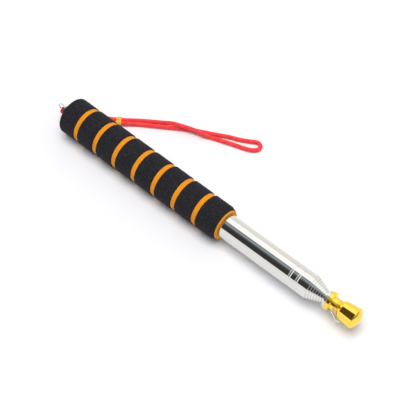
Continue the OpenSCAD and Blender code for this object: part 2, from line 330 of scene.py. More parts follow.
SMOOTH_ANGLE = math.radians(40)
# A rounding takes at most this share of the sides beside its corner, and has a support point beyond each
# end, at this share of its own length
CORNER_LIMIT = 0.45
CORNER_SUPPORT = 0.15
# An outline point nearer to the pole's axis than this lies on it
ON_AXIS = 1e-7
LATHE_SIDES = 144
# The domed end of a swept piece, as shares of its radius: its height, and the height and size of its ring
DOME_TOP = 0.6
DOME_RING = 0.42
DOME_RING_SIZE = 0.72
# Repeats of the UV map round a loft
LOFT_REPEATS = 12
# The middle point of a soft edge, as a share of the edge's size
SOFT_BEVEL = 0.3
# Every name that ends in ROUND is a rounding in millimetres, as outline takes it


def new_piece(name, points, faces, uvs=None):
    """A smooth piece from points and faces, with an optional UV pair for each face corner."""
    mesh = bpy.data.meshes.new(name)
    mesh.from_pydata(points, [], faces)
    if uvs:
        layer = mesh.uv_layers.new(name="strand")
        layer.data.foreach_set("uv", [value for uv in uvs for value in uv])
    mesh.shade_smooth()
    mesh.set_sharp_from_angle(angle=SMOOTH_ANGLE)
    piece = bpy.data.objects.new(name, mesh)
    bpy.context.scene.collection.objects.link(piece)
    return piece


def dress(piece, *nodes):
    """The piece stands for these nodes and takes the body and the finish of the first one."""
    slot = SLOT_OF[nodes[0]]
    piece.data.materials.append(MATERIALS[slot])
    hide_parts(*nodes)
    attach(piece, BODY_OF[nodes[0]])
    return piece


def join(name, *pieces):
    """One piece from several, in place."""
    points, faces, uvs = [], [], []
    for piece in pieces:
        first = len(points)
        points += [v.co.copy() for v in piece.data.vertices]
        faces += [[first + index for index in face.vertices] for face in piece.data.polygons]
        if piece.data.uv_layers:
            uvs += [tuple(corner.uv) for corner in piece.data.uv_layers[0].data]
        bpy.data.objects.remove(piece)
    return new_piece(name, points, faces, uvs)


def round_corner(before, corner, after, radius, steps):
    """Points of the arc that rounds a corner of an outline, with a support point beside each end."""
    back = (before - corner).normalized()
    ahead = (after - corner).normalized()
    half = back.angle(ahead) / 2
    run = radius / math.tan(half)
    limit = CORNER_LIMIT * min((before - corner).length, (after - corner).length)
    if run > limit:
        run = limit
        radius = run * math.tan(half)
    centre = corner + (back + ahead).normalized() * (radius / math.sin(half))
    start = corner + back * run - centre
    end = corner + ahead * run - centre
    turn = start.angle_signed(end) if start.length > 0 else 0
    support = CORNER_SUPPORT * run
    arc = [centre + Matrix.Rotation(-turn * k / steps, 2) @ start for k in range(steps + 1)]
    return [corner + back * (run + support)] + arc + [corner + ahead * (run + support)]


def outline(corners, closed=True, steps=5):
    """The points of an outline, from corners of x, radius and an optional rounding in millimetres."""
    spots = [Vector(corner[:2]) for corner in corners]
    points = []
    for i, corner in enumerate(corners):
        inner = closed or 0 < i < len(corners) - 1
        if len(corner) > 2 and inner:
            ahead = spots[(i + 1) % len(spots)]
            points += round_corner(spots[i - 1], spots[i], ahead, corner[2] * MM, steps)
        else:
            points.append(spots[i])
    return points


def lathe(name, points, closed=True, sides=LATHE_SIDES, shift=None):
    """A piece turned about the pole's axis from outline points of x and radius.
    shift(point, radius) gives how far a point of the surface moves outward."""
    verts, rings = [], []
    for x, radius in points:
        if radius < ON_AXIS:
            rings.append([len(verts)] * sides)
            verts.append(Vector((x, 0, AXIS_Z)))
            continue
        rings.append(list(range(len(verts), len(verts) + sides)))
        for k in range(sides):
            angle = TAU * k / sides
            outward = Vector((0, math.cos(angle), math.sin(angle)))
            point = Vector((x, 0, AXIS_Z)) + outward * radius
            verts.append(point + outward * shift(point, radius) if shift else point)
    faces = []
    for i in range(len(rings) if closed else len(rings) - 1):
        here, there = rings[i], rings[(i + 1) % len(rings)]
        for k in range(sides):
            corners = [here[k - 1], here[k], there[k], there[k - 1]]
            faces.append(list(dict.fromkeys(corners)))
    return new_piece(name, verts, faces)


def headings(path):
    """The direction of the path at each of its points."""
    last = len(path) - 1
    return [(path[min(i + 1, last)] - path[max(i - 1, 0)]).normalized() for i in range(len(path))]


def rings_along(path, ways, radius, sides, relief):
    """The rings of points round a path, in one list, and each ring's distance along the path."""
    side = ways[0].orthogonal().normalized()
    points, distances, travelled = [], [], 0.0
    for i, (spot, way) in enumerate(zip(path, ways)):
        side = (side - way * side.dot(way)).normalized()
        over = way.cross(side)
        if i:
            travelled += (spot - path[i - 1]).length
        distances.append(travelled)
        for k in range(sides):
            angle = TAU * k / sides
            reach = radius + (relief(travelled, angle) if relief else 0)
            points.append(spot + (side * math.cos(angle) + over * math.sin(angle)) * reach)
    return points, distances


def close_end(points, faces, first, sides, spot, reach, winding):
    """Closes an end of a swept piece with a dome over the ring of points that starts at first.
    reach is one radius outward from the end's middle, and winding is 1 or -1, the way round its faces go."""
    top = len(points)
    points.append(spot + reach * DOME_TOP)
    ring = len(points)
    for k in range(sides):
        points.append(spot + (points[first + k] - spot) * DOME_RING_SIZE + reach * DOME_RING)
    for k in range(sides):
        m = (k + 1) % sides
        strip = [first + m, first + k, ring + k, ring + m]
        cap = [ring + m, ring + k, top]
        faces.append(strip[::winding])
        faces.append(cap[::winding])


def sweep(name, path, radius, sides, relief=None, uv_pitch=None):
    """A round piece with domed ends along a path. relief(distance, angle) gives the surface's height at a
    place on it, and uv_pitch the length of one repeat of its UV map, if it has one."""
    ways = headings(path)
    points, distances = rings_along(path, ways, radius, sides, relief)
    faces, uvs = [], []
    for i in range(len(path) - 1):
        near, far = (distance / (uv_pitch or 1.0) for distance in distances[i:i + 2])
        here, there = i * sides, (i + 1) * sides
        for k in range(sides):
            m = (k + 1) % sides
            faces.append([here + k, here + m, there + m, there + k])
            low, high = k / sides, (k + 1) / sides
            uvs += [(near, low), (near, high), (far, high), (far, low)]
    walls = len(faces)
    close_end(points, faces, 0, sides, path[0], -ways[0] * radius, 1)
    close_end(points, faces, (len(path) - 1) * sides, sides, path[-1], ways[-1] * radius, -1)
    uvs += [(0, 0)] * sum(len(face) for face in faces[walls:])
    return new_piece(name, points, faces, uvs if uv_pitch else None)


def loft(name, loops, place, uv=False):
    """A closed skin over loops of points, from the first loop to the last and back to the first."""
    count = len(loops[0])
    points = [place @ Vector(point) for loop in loops for point in loop]
    faces, uvs = [], []
    for i in range(len(loops)):
        here, there = i * count, (i + 1) % len(loops) * count
        for k in range(count):
            m = (k + 1) % count
            faces.append([here + k, here + m, there + m, there + k])
            corners = ((k, i), (k + 1, i), (k + 1, i + 1), (k, i + 1))
            uvs += [(across / count * LOFT_REPEATS, along) for across, along in corners]
    return new_piece(name, points, faces, uvs if uv else None)


def arc_points(centre, from_side, to_side, radius, steps):
    """Points of a quarter turn about centre, from one unit direction to another at right angles."""
    turns = [math.pi / 2 * k / steps for k in range(steps + 1)]
    return [centre + (from_side * math.cos(t) + to_side * math.sin(t)) * radius for t in turns]


def smooth_route(points, step):
    """A smooth curve through the points, as spots about one step apart."""
    spots = []
    for i in range(len(points) - 1):
        p0, p1 = points[max(i - 1, 0)], points[i]
        p2, p3 = points[i + 1], points[min(i + 2, len(points) - 1)]
        count = max(2, round((p2 - p1).length / step))
        for k in range(count):
            t = k / count
            spots.append(0.5 * (2 * p1 + (p2 - p0) * t + (2 * p0 - 5 * p1 + 4 * p2 - p3) * t ** 2
                                + (3 * p1 - p0 - 3 * p2 + p3) * t ** 3))
    return spots + [points[-1]]


def soft_corner(at, radius, inward, soft):
    """Three points, as place and radius, that round the rim of an end face at a place along an axis.
    inward is 1 or -1, the way from the face into the body."""
    bevel = SOFT_BEVEL * soft
    return [(at, radius - soft), (at + inward * bevel, radius - bevel), (at + inward * soft, radius)]


# Wrist strap

# The route of the cord, as station, distance from the pole's axis and height in millimetres
CORD_ROUTE_MM = [
    (-13.95, 6, 7.4), (-13.95, 8.4, 5.6), (-13.4, 12, 3.4), (-11, 15.8, 2.2), (-6.6, 18.2, 1.9),
    (-1, 19.4, 1.9), (5.2, 20.7, 1.9), (11.8, 22.8, 2.2), (18.8, 26, 2.6), (27.2, 32, 2.6),
    (37.1, 40.5, 2), (48.3, 48.4, 2.2), (54.5, 51.6, 3.2), (61, 54.6, 4.9), (68.1, 56.9, 5.7),
    (74.9, 59.3, 5.8), (81.7, 61.8, 5), (88.7, 63.8, 3.4), (95, 66.9, 2.2), (105, 70.5, 1.9),
    (115.3, 74, 1.9), (122.1, 76.1, 1.9), (128.3, 78.8, 1.9), (132, 82.7, 1.9), (131.3, 86.8, 1.9),
    (127.3, 88.3, 1.9), (122.1, 85.5, 1.9), (114, 80.9, 1.9), (104.2, 76.6, 1.9), (92.2, 70.1, 1.9),
    (79.8, 63.8, 1.9), (68.3, 56.5, 1.9), (57, 48.9, 1.9), (40, 37.5, 2), (29.7, 29, 2.6),
    (21.2, 22.8, 2.6), (13.2, 19, 2.2), (5.8, 16.8, 1.9), (-0.2, 15.4, 1.9), (-5.2, 13.8, 2.2),
    (-8.7, 11.6, 3.5), (-10.05, 8.4, 5.6), (-10.05, 6, 7.4)]
CORD_D = 3.6 * MM
CORD_STEP = 0.45 * MM
CORD_SIDES = 32
BRAID_STRANDS = 8
BRAID_PITCH = 9 * MM
BRAID_HEIGHT = 0.16 * MM
# How round a strand is, and the share of the height by which one strand dips under another
BRAID_CROWN = 0.8
BRAID_DIP = 0.25
# Two strands lie side by side in the band and in the moulded end
STRAND_GAP = 3.9 * MM
SLEEVE_H = 5 * MM
SLEEVE_STEPS = 48
BAND_AT = Vector((station(25), 28 * MM, 2.6 * MM))
BAND_HEADING = math.radians(36)
BAND_LEN = 4.5 * MM
BAND_TURNS = 8
BAND_SLACK = 0.16 * MM
# The sleeve under the thread ends inside its outer turns, by this share of the thread's radius
BAND_INSET = 0.6
THREAD_STEPS = 64
THREAD_SIDES = 10
THREAD_PITCH = 2 * MM
STRAP_END_LEN = 7.5 * MM
STRAP_END_SLOPE = math.atan2(0.6, 0.8)
STRAP_END_SOFT = 0.5 * MM
STRAP_EYE_D = 5.2 * MM
STRAP_EYE_T = 3 * MM
STRAP_EYE_BORE = 2 * MM
STRAP_EYE_CHAMFER = 0.25 * MM
STRAP_EYE_STEPS = 48
# The moulded sleeve starts inside the eye, is almost solid up to its mouth and grips both strands there
SLEEVE_START = STRAP_EYE_D / 2 - 1 * MM
SLEEVE_CORE_R = 0.35 * MM
MOUTH_R = CORD_D / 2 - 0.1 * MM
MOUTH_DEPTH = 1.5 * MM


def braid_relief(distance, angle):
    """The height of a braid of strands that wind both ways and pass over each other in turn."""
    half = BRAID_STRANDS / 2
    turn = TAU * distance / BRAID_PITCH
    one = math.sin(angle * half + turn * half)
    other = math.sin(angle * half - turn * half)
    crown = max(abs(one), abs(other)) ** BRAID_CROWN
    return -BRAID_HEIGHT * (1 - crown) - BRAID_HEIGHT * BRAID_DIP * (1 - one * other)


def stadium(half_gap, radius, turns=1, per_turn=SLEEVE_STEPS):
    """Points of x and z round two parallel strands, at this radius from each."""
    straight = 2 * half_gap
    bend = math.pi * radius
    loop = 2 * (straight + bend)
    points = []
    for k in range(turns * per_turn):
        run = loop * k / per_turn % loop
        if run < straight:
            points.append((-half_gap + run, radius))
        elif run < straight + bend:
            angle = (run - straight) / radius
            points.append((half_gap + math.sin(angle) * radius, math.cos(angle) * radius))
        elif run < 2 * straight + bend:
            points.append((half_gap - (run - straight - bend), -radius))
        else:
            angle = (run - 2 * straight - bend) / radius
            points.append((-half_gap - math.sin(angle) * radius, -math.cos(angle) * radius))
    return points


def make_strap_cord(band, end):
    """The braided cord, from one strand's end in the moulding round the loop to the other."""
    route = [Vector((station(x), y * MM, z * MM)) for x, y, z in CORD_ROUTE_MM]
    path = smooth_route(route, CORD_STEP)
    cord = sweep("strap_cord_braid", path, CORD_D / 2, CORD_SIDES, relief=braid_relief,
                 uv_pitch=BRAID_PITCH)
    dress(cord, "strap_cord")


def make_strap_band():
    """The yellow thread that is wound round both strands, over a thin sleeve."""
    place = Matrix.Translation(BAND_AT) @ Matrix.Rotation(BAND_HEADING - math.pi / 2, 4, "Z")
    half_gap = STRAND_GAP / 2
    thread_r = BAND_LEN / BAND_TURNS / 2
    inner = CORD_D / 2 + BAND_SLACK
    outer = SLEEVE_H / 2 - thread_r
    reach = BAND_LEN / 2 - thread_r * BAND_INSET
    loops = []
    for radius, y in ((inner, reach), (inner, -reach), (outer, -reach), (outer, reach)):
        loops.append([(x, y, z) for x, z in stadium(half_gap, radius)])
    sleeve = loft("band_sleeve", loops, place, uv=True)
    winding = stadium(half_gap, outer, BAND_TURNS - 1, THREAD_STEPS)
    start = -BAND_LEN / 2 + thread_r
    rise = (BAND_LEN - 2 * thread_r) / len(winding)
    path = [place @ Vector((x, start + rise * k, z)) for k, (x, z) in enumerate(winding)]
    thread = sweep("band_thread", path, thread_r, THREAD_SIDES, uv_pitch=THREAD_PITCH)
    return dress(join("strap_band_thread", sleeve, thread), "strap_band")


def strap_eye_loops():
    """Loops round the eye of the moulded end: its outside from face to face, and then its bore."""
    eye_r, bore_r, half_t = STRAP_EYE_D / 2, STRAP_EYE_BORE / 2, STRAP_EYE_T / 2
    section = [(-half_t, bore_r + STRAP_EYE_CHAMFER)]
    section += soft_corner(-half_t, eye_r, 1, STRAP_END_SOFT)
    section += reversed(soft_corner(half_t, eye_r, -1, STRAP_END_SOFT))
    section += [(half_t, bore_r + STRAP_EYE_CHAMFER)]
    section += [(half_t - STRAP_EYE_CHAMFER, bore_r), (-half_t + STRAP_EYE_CHAMFER, bore_r)]
    turns = [TAU * k / STRAP_EYE_STEPS for k in range(STRAP_EYE_STEPS)]
    return [[(x, math.cos(t) * radius, math.sin(t) * radius) for t in turns] for x, radius in section]


def strap_sleeve_loops():
    """Loops round the flat sleeve of the moulded end, from the eye to the mouth and a little into it."""
    sleeve_r = SLEEVE_H / 2
    floor_y = STRAP_END_LEN - MOUTH_DEPTH
    section = [(SLEEVE_START, SLEEVE_CORE_R)]
    section += soft_corner(SLEEVE_START, sleeve_r, 1, STRAP_END_SOFT)
    section += reversed(soft_corner(STRAP_END_LEN, sleeve_r, -1, STRAP_END_SOFT))
    section += [(STRAP_END_LEN, MOUTH_R), (floor_y, MOUTH_R), (floor_y, SLEEVE_CORE_R)]
    return [[(x, y, z) for x, z in stadium(STRAND_GAP / 2, radius)] for y, radius in section]


def make_strap_end():
    """The moulded end: an eye on the ring and a flat sleeve that grips both strands."""
    ring_low, ring_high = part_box("strap_ring")
    wire_d = ring_high.y - ring_low.y
    eye_at = Vector(((ring_low.x + ring_high.x) / 2, 0, ring_low.z + wire_d / 2))
    place = Matrix.Translation(eye_at) @ Matrix.Rotation(-STRAP_END_SLOPE, 4, "X")
    eye = loft("end_eye", strap_eye_loops(), place)
    sleeve = loft("end_sleeve", strap_sleeve_loops(), place)
    return dress(join("strap_end_moulding", eye, sleeve), "strap_end")


make_strap_cord(make_strap_band(), make_strap_end())


# Steel tubes

SECTION_COUNT = 8
TUBE_WALL = 0.45 * MM
TUBE_GAP = 0.27 * MM
TUBE_SLIP = 0.03 * MM
LIP_LEN = 0.9 * MM
TUBE_REAR_ROUND = 0.1
LIP_ROUND = 0.25
LAST_LIP_ROUND = 0.12
TUBE_MOUTH_ROUND = 0.06
# The stop bead at the grip's front ring is slight, and the two beads near the front are plain to see
BEADS = ((station(168.1), 0.06 * MM), (station(234.4), 0.24 * MM), (station(241), 0.24 * MM))
BEAD_W = 2.8 * MM
BEAD_FLANK = 1.15 * MM
BEAD_FLANK_STEPS = 8
BEAD_MARGIN = 0.1 * MM


def bead_dip(at, radius, depth):
    """The outline of a rolled bead: a dip in the tube's wall, with a smooth flank on each side.
    A point beside each flank keeps the plain tube straight up to the bead."""
    flank = [(-BEAD_W / 2 - BEAD_MARGIN, 0)]
    for k in range(BEAD_FLANK_STEPS + 1):
        along = k / BEAD_FLANK_STEPS
        flank.append((along * BEAD_FLANK - BEAD_W / 2, depth * (0.5 - 0.5 * math.cos(math.pi * along))))
    rear_side = [(at + x, radius - dip) for x, dip in flank]
    return rear_side + [(at - x, radius - dip) for x, dip in reversed(flank)]


def make_tube(node, number):
    """A thin tube, with beads on the outer one, number 1, and a turned-in lip on all but the last."""
    rear, front, radius = span(node)
    bore = radius - TUBE_WALL
    corners = [(rear, bore), (rear, radius, TUBE_REAR_ROUND)]
    if number == 1:
        for at, depth in BEADS:
            corners += bead_dip(at, radius, depth)
    if number == SECTION_COUNT:
        corners += [(front, radius, LAST_LIP_ROUND), (front, bore, TUBE_MOUTH_ROUND)]
    else:
        mouth = bore - TUBE_GAP + TUBE_SLIP
        corners += [(front, radius, LIP_ROUND), (front, mouth, TUBE_MOUTH_ROUND)]
        corners += [(front - LIP_LEN, mouth), (front - LIP_LEN, bore)]
    dress(lathe(node + "_steel", outline(corners)), node)


make_tube("outer_tube", 1)
for n in range(2, SECTION_COUNT + 1):
    make_tube(f"tube_{n}", n)


# Foam grip

BAND_COUNT = 8
GRIP_FRONT_R = 14.5 * MM
RIM_ROUND = 3.65
EDGE_ROUND = 1.0
# The last band tapers towards the orange ring at the grip's front
FRONT_TAPER = 3.2 * MM
FRONT_TAPER_ROUND = 1.6
FRONT_EDGE_ROUND = 0.6
FRONT_STEP = 0.5 * MM
END_RING_R = 12.8 * MM
END_RING_ROUND = 0.6
# The bands sit on the orange core, which is a little smaller than their seats
SEAT_R = 12.31 * MM
CORE_SEAT_R = SEAT_R - 0.01 * MM
CORE_BORE = 10.01 * MM
CORE_MOUTH_ROUND = 0.3
GROOVE_DEPTH = 0.9 * MM
GROOVE_CROWN = 0.12 * MM
FOAM_CELL = 0.8 * MM
FOAM_SIDES = 168
FOAM_CORNER_STEPS = 6
# A slow unevenness, only outside the seats, that lies more below the plain surface than above it
FOAM_LUMP = 0.03 * MM
FOAM_LUMP_SIZE = 7 * MM
FOAM_LUMP_SINK = 0.3
FOAM_LUMP_FROM = SEAT_R + 0.5 * MM


def foam_lump(point, radius):
    """How far the uneven surface of the foam lies outside the plain one."""
    if radius < FOAM_LUMP_FROM:
        return 0.0
    return FOAM_LUMP * noise.noise(point / FOAM_LUMP_SIZE) - FOAM_LUMP_SINK * FOAM_LUMP


def grip_radius(x):
    """The radius of the tapering grip, from the widest band to the front one."""
    rear_x = station(RIM_ROUND)
    front_x = span(f"grip_band_{BAND_COUNT}")[1]
    rear_r = span("grip_band_1")[2]
    return rear_r + (GRIP_FRONT_R - rear_r) * (x - rear_x) / (front_x - rear_x)


def dense(points, step):
    """The same outline with its long stretches cut into steps."""
    spots = []
    for a, b in zip(points, points[1:] + points[:1]):
        count = max(1, round((b - a).length / step))
        spots += [a.lerp(b, k / count) for k in range(count)]
    return spots


def make_grip_band(number):
    """One black band. The first has a wide rear rim, and the last tapers at its front."""
    node = f"grip_band_{number}"
    rear, front, _ = span(node)
    rear_round = RIM_ROUND if number == 1 else EDGE_ROUND
    corners = [(rear, SEAT_R), (rear, grip_radius(rear), rear_round)]
    if number == BAND_COUNT:
        taper = front - FRONT_TAPER
        corners += [(taper, grip_radius(taper), FRONT_TAPER_ROUND)]
        corners += [(front, END_RING_R + FRONT_STEP, FRONT_EDGE_ROUND)]
    else:
        corners += [(front, grip_radius(front), EDGE_ROUND)]
    corners += [(front, SEAT_R)]
    points = dense(outline(corners, steps=FOAM_CORNER_STEPS), FOAM_CELL)
    band = lathe(f"foam_band_{number}", points, sides=FOAM_SIDES, shift=foam_lump)
    dress(band, node)


def make_grip_core():
    """The orange core, which shows in the grooves between the bands and as a ring at the front."""
    rear, front, _ = span("grip_core")
    corners = [(rear, CORE_BORE), (rear, CORE_SEAT_R)]
    for number in range(1, BAND_COUNT):
        a = span(f"grip_band_{number}")[1]
        b = span(f"grip_band_{number + 1}")[0]
        middle = (a + b) / 2
        corners += [(a, CORE_SEAT_R), (a, grip_radius(a) - GROOVE_DEPTH)]
        corners += [(middle, grip_radius(middle) - GROOVE_DEPTH + GROOVE_CROWN)]
        corners += [(b, grip_radius(b) - GROOVE_DEPTH), (b, CORE_SEAT_R)]
    foam_end = span(f"grip_band_{BAND_COUNT}")[1]
    corners += [(foam_end, CORE_SEAT_R), (foam_end, END_RING_R)]
    corners += [(front, END_RING_R, END_RING_ROUND), (front, CORE_BORE, CORE_MOUTH_ROUND)]
    core = lathe("grip_core_foam", outline(corners), sides=FOAM_SIDES)
    dress(core, "grip_core")


for n in range(1, BAND_COUNT + 1):
    make_grip_band(n)
make_grip_core()


# Rear end

FLANGE_T = 2 * MM
FLANGE_R = 11.5 * MM
FLANGE_ROUND = 0.7
FLANGE_FRONT_ROUND = 0.2
PLUG_R = 9.54 * MM
PLUG_DEPTH = 8 * MM
PLUG_ROUND = 0.4
EYE_X = station(-7.8)
EYE_W = 6 * MM
EYE_T = 2.2 * MM
EYE_BORE = 1.9 * MM
EYE_SOFT = 0.35 * MM
EYE_STEPS = 64
# The eye's tab ends inside the flange
TAB_END = GRIP_REAR - FLANGE_T / 2 - EYE_X
RING_SEAM = 0.16 * MM
# Room at the seam for the domed wire ends, as a share of the wire's radius
RING_END_SHARE = 0.5
RING_STEPS = 120
RING_SIDES = 20


def eye_edge(inset, height):
    """A loop round the eye's tab, that much inside its outline: half round and half straight."""
    reach = EYE_W / 2 - inset
    points = []
    for k in range(EYE_STEPS):
        angle = TAU * k / EYE_STEPS
        x = math.cos(angle) * reach
        y = math.sin(angle) * reach
        if x > 0:
            stretch = 1 / max(abs(math.cos(angle)), abs(math.sin(angle)))
            x = x * stretch / reach * TAB_END
            y = y * stretch
        points.append((x, y, height))
    return points


def eye_bore(extra, height):
    """A loop round the eye's bore, that much outside it."""
    reach = EYE_BORE / 2 + extra
    turns = [TAU * k / EYE_STEPS for k in range(EYE_STEPS)]
    return [(math.cos(t) * reach, math.sin(t) * reach, height) for t in turns]


def make_end_plug():
    """A moulded plug with a rounded flange and an eye whose edges are rounded."""
    back, inside = GRIP_REAR - FLANGE_T, GRIP_REAR + PLUG_DEPTH
    corners = [(back, 0), (back, FLANGE_R, FLANGE_ROUND), (GRIP_REAR, FLANGE_R, FLANGE_FRONT_ROUND)]
    corners += [(GRIP_REAR, PLUG_R), (inside, PLUG_R, PLUG_ROUND), (inside, 0)]
    plug = lathe("plug_body", outline(corners, closed=False), closed=False)
    half_t, bevel = EYE_T / 2, SOFT_BEVEL * EYE_SOFT
    below = [(EYE_SOFT, -half_t), (bevel, -half_t + bevel), (0, -half_t + EYE_SOFT)]
    above = [(inset, -height) for inset, height in reversed(below)]
    loops = [eye_bore(*below[0])]
    loops += [eye_edge(inset, height) for inset, height in below + above]
    loops += [eye_bore(inset, height) for inset, height in reversed(below[1:] + above)]
    tab = loft("plug_eye", loops, Matrix.Translation((EYE_X, 0, AXIS_Z)))
    dress(join("end_plug_moulding", plug, tab), "end_plug")


def make_strap_ring():
    """A bent wire ring whose two ends meet at a fine seam."""
    low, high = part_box("strap_ring")
    wire_r = (high.y - low.y) / 2
    centre = (low + high) / 2
    mean_r = (high.z - low.z) / 2 - wire_r
    gap = (RING_SEAM + wire_r * RING_END_SHARE) / mean_r
    turns = [gap / 2 + (TAU - gap) * k / RING_STEPS for k in range(RING_STEPS + 1)]
    seam_way = -AXIS_X
    path = [centre + (seam_way * math.cos(t) + UP * math.sin(t)) * mean_r for t in turns]
    dress(sweep("strap_ring_wire", path, wire_r, RING_SIDES), "strap_ring")


make_end_plug()
make_strap_ring()


# Tip

STUD_R = 2.51 * MM
WASHER_ROUND = 0.45
COLLAR_R = 7.5 * MM
COLLAR_LEN = 3.4 * MM
COLLAR_ROUND = 0.6
NECK_R = 5.1 * MM
NECK_LEN = 5.7 * MM
NECK_ROUND = 0.35
# A slight bead at the neck's front, and the share of its length that each of its slopes takes up
NECK_BEAD_H = 0.4 * MM
NECK_BEAD_LEN = 1.4 * MM
NECK_BEAD_SLOPE = 0.3
NECK_BEAD_FOOT_ROUND = 0.2
NECK_BEAD_TOP_ROUND = 0.3
FLARE_LEN = 3 * MM
FLARE_ROUND = 0.4
HEAD_R_REAR = 7.15 * MM
HEAD_R_FRONT = 8.5 * MM
HEAD_REAR_ROUND = 1.1
HEAD_RIM_ROUND = 1.2
DOME_H = 3.6 * MM
DOME_STEPS = 14
KNOB_SIDES = 192
KNOB_CORNER_STEPS = 8
# The cutter of the cross hole reaches this many neck radii to each side
HOLE_REACH = 1.6
HOLE_SIDES = 32
BAIL_WIRE_R = 0.7 * MM
BAIL_SIDES = 18
BAIL_LEN = 12 * MM
BAIL_END_R = 4.3 * MM
BAIL_END_STEPS = 14
BAIL_PIN_R = 1.5 * MM
BAIL_PIN_STEPS = 10
BAIL_PIN_DEPTH = 3 * MM
# The straight pin ends just before its bend
BAIL_PIN_MARGIN = 0.05 * MM
BAIL_LEAN = math.radians(45)


def make_washer():
    """The silver washer between the last tube and the knob."""
    rear, front, radius = span("tip_washer")
    corners = [(rear, STUD_R), (rear, radius, WASHER_ROUND)]
    corners += [(front, radius, WASHER_ROUND), (front, STUD_R)]
    dress(lathe("tip_washer_steel", outline(corners)), "tip_washer")


def cut(piece, cutter):
    """Takes the cutter's shape out of the piece, and deletes the cutter."""
    modifier = piece.modifiers.new("cut", "BOOLEAN")
    modifier.object = cutter
    modifier.operation = "DIFFERENCE"
    modifier.solver = "EXACT"
    bpy.context.view_layer.update()
    result = piece.evaluated_get(bpy.context.evaluated_depsgraph_get())
    shape = bpy.data.meshes.new_from_object(result)
    piece.modifiers.remove(modifier)
    piece.data = shape
    shape.shade_smooth()
    shape.set_sharp_from_angle(angle=SMOOTH_ANGLE)
    bpy.data.objects.remove(cutter)


def dome(rim_x, rim_r, height):
    """The outline of a domed front face, from its rim to the axis."""
    big = (rim_r ** 2 + height ** 2) / (2 * height)
    half = math.asin(rim_r / big)
    turns = [half * (1 - k / DOME_STEPS) for k in range(1, DOME_STEPS + 1)]
    return [(rim_x + height - big + big * math.cos(t), big * math.sin(t)) for t in turns]


def knob_corners():
    """The knob's outline: collar, neck with a slight bead, flared head and domed face."""
    rear, front, _ = span("tip_knob")
    neck = rear + COLLAR_LEN
    flare = neck + NECK_LEN
    head = flare + FLARE_LEN
    rim = front - DOME_H
    bead = flare - NECK_BEAD_LEN
    slope = NECK_BEAD_LEN * NECK_BEAD_SLOPE
    corners = [(rear, 0), (rear, COLLAR_R, COLLAR_ROUND), (neck, COLLAR_R, COLLAR_ROUND)]
    corners += [(neck, NECK_R, NECK_ROUND), (bead, NECK_R, NECK_BEAD_FOOT_ROUND)]
    corners += [(bead + slope, NECK_R + NECK_BEAD_H, NECK_BEAD_TOP_ROUND)]
    corners += [(flare - slope, NECK_R + NECK_BEAD_H, NECK_BEAD_TOP_ROUND)]
    corners += [(flare, NECK_R, FLARE_ROUND), (head, HEAD_R_REAR, HEAD_REAR_ROUND)]
    corners += [(rim, HEAD_R_FRONT, HEAD_RIM_ROUND)]
    return corners + dome(rim, HEAD_R_FRONT, DOME_H)


def make_knob():
    """The gold knob, with the cross hole that the bail swings in."""
    points = outline(knob_corners(), closed=False, steps=KNOB_CORNER_STEPS)
    knob = lathe("tip_knob_gold", points, closed=False, sides=KNOB_SIDES)
    hinge = JOINTS["bail_swing"]
    middle, way = Vector(hinge["pos_m"]), Vector(hinge["axis"])
    reach = way * NECK_R * HOLE_REACH
    cut(knob, sweep("hole", [middle - reach, middle + reach], BAIL_WIRE_R + TUBE_SLIP, HOLE_SIDES))
    dress(knob, "tip_knob")


def make_bail():
    """The wire bail, with both pins in the cross hole of the knob's neck."""
    hinge = JOINTS["bail_swing"]
    middle, pin = Vector(hinge["pos_m"]), Vector(hinge["axis"]).normalized()
    aside = AXIS_X.cross(pin).normalized()
    leg = AXIS_X * math.sin(BAIL_LEAN) + aside * math.cos(BAIL_LEAN)
    half = NECK_R + TUBE_SLIP + BAIL_PIN_R
    path = []
    for side in (-1, 1):
        out = pin * side
        pin_bend = middle + out * (half - BAIL_PIN_R) + leg * BAIL_PIN_R
        end_bend = middle + out * (half - BAIL_END_R) + leg * (BAIL_LEN - BAIL_END_R)
        run = [middle + out * (NECK_R - BAIL_PIN_DEPTH)]
        run += [middle + out * (half - BAIL_PIN_R - BAIL_PIN_MARGIN)]
        run += arc_points(pin_bend, -leg, out, BAIL_PIN_R, BAIL_PIN_STEPS)
        run += arc_points(end_bend, out, leg, BAIL_END_R, BAIL_END_STEPS)
        path += run if side < 0 else run[::-1]
    dress(sweep("tip_bail_wire", path, BAIL_WIRE_R, BAIL_SIDES), "tip_bail")


make_washer()
make_knob()
make_bail()

# The hidden bushes and the stud keep their solids
for node, solid in frame["nodes"].items():
    if node.startswith("bush_") or node == "tip_stud":
        material = MATERIALS[SLOT_OF[node]]
        if solid.material_slots:
            solid.material_slots[0].material = material
        else:
            solid.data.materials.append(material)


# Floor and light

WHITE = (1, 1, 1, 1)
FLOOR_SIZE = 6.0
FLOOR_COLOUR = (0.945, 0.95, 0.965, 1)
FLOOR_FADE_FROM = 0.3
FLOOR_FADE_TO = 0.9
LAMP_AT = Vector((0.1, -0.3, 2.3))
LAMP_SIZE = 1.75
LAMP_POWER = 42.0
SKY_NEAR = (0.2, 0.2, 0.215, 1)
SKY_FAR = (0.64, 0.64, 0.66, 1)

# What polished metal mirrors, as degrees about the pole from the -Y horizon over the top, and a colour
MIRROR_FROM = -30.0
MIRROR_TO = 190.0
MIRROR_GAIN = 1.3
FAR_WALL = (0.77, 0.75, 0.71)
MIRROR = [
    (-30, even(0.77)), (18.5, even(0.77)), (20, even(0.035)), (50, even(0.035)), (58, even(0.046)),
    (67, (0.11, 0.115, 0.13)), (76, (0.28, 0.34, 0.4)), (91.5, (0.16, 0.17, 0.18)), (96, even(1.0)),
    (141, even(1.0)), (144, even(0.6)), (146, even(0.6)), (150, FAR_WALL), (190, FAR_WALL)]

# Each other part of the studio lies between four edges along the pole: it starts at the first one, is
# full from the second to the third and is gone at the fourth

